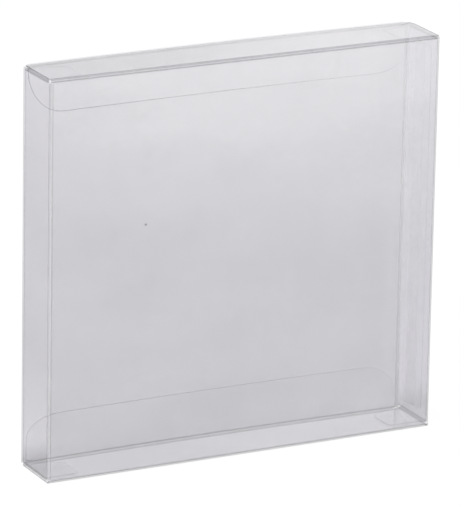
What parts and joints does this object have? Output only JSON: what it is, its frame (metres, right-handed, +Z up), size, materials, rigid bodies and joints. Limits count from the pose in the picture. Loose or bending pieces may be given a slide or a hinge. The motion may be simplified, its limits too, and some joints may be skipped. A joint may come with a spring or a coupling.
{
  "type": "clear folding box protector",
  "caption": "Clear film box that closes round a boxed handheld game, with a glued side seam, dust flaps and a tucked lid at each end.",
  "frame": {"origin": "on the floor, under the middle of the standing box", "axes": "+X to the right along the front, +Y from the front panel to the back panel, +Z up to the top lid"},
  "size_m": [0.13, 0.022, 0.125],
  "materials": {
    "clear_film": "clear polyester film, glossy on both faces"
  },
  "bodies": {
    "sleeve": {"sleeve": "clear_film"},
    "top_lid": {"top_lid": "clear_film"},
    "top_tuck_flap": {"top_tuck_flap": "clear_film"},
    "bottom_lid": {"bottom_lid": "clear_film"},
    "bottom_tuck_flap": {"bottom_tuck_flap": "clear_film"}
  },
  "joints": [
    {"name": "top_lid_hinge", "type": "hinge", "parent": "sleeve", "child": "top_lid", "pos_m": [0, -0.00975, 0.12385], "axis": [1, 0, 0], "range_deg": [0, 110]},
    {"name": "top_tuck_fold", "type": "hinge", "parent": "top_lid", "child": "top_tuck_flap", "pos_m": [0, 0.00845, 0.12385], "axis": [1, 0, 0], "range_deg": [-55, 0]},
    {"name": "bottom_lid_hinge", "type": "hinge", "parent": "sleeve", "child": "bottom_lid", "pos_m": [0, -0.00975, 0.00115], "axis": [-1, 0, 0], "range_deg": [0, 110]},
    {"name": "bottom_tuck_fold", "type": "hinge", "parent": "bottom_lid", "child": "bottom_tuck_flap", "pos_m": [0, 0.00845, 0.00115], "axis": [-1, 0, 0], "range_deg": [-55, 0]}
  ],
  "couplings": [
    {"joint": "top_tuck_fold", "follows": "top_lid_hinge", "ratio": -0.5},
    {"joint": "bottom_tuck_fold", "follows": "bottom_lid_hinge", "ratio": -0.5}
  ]
}
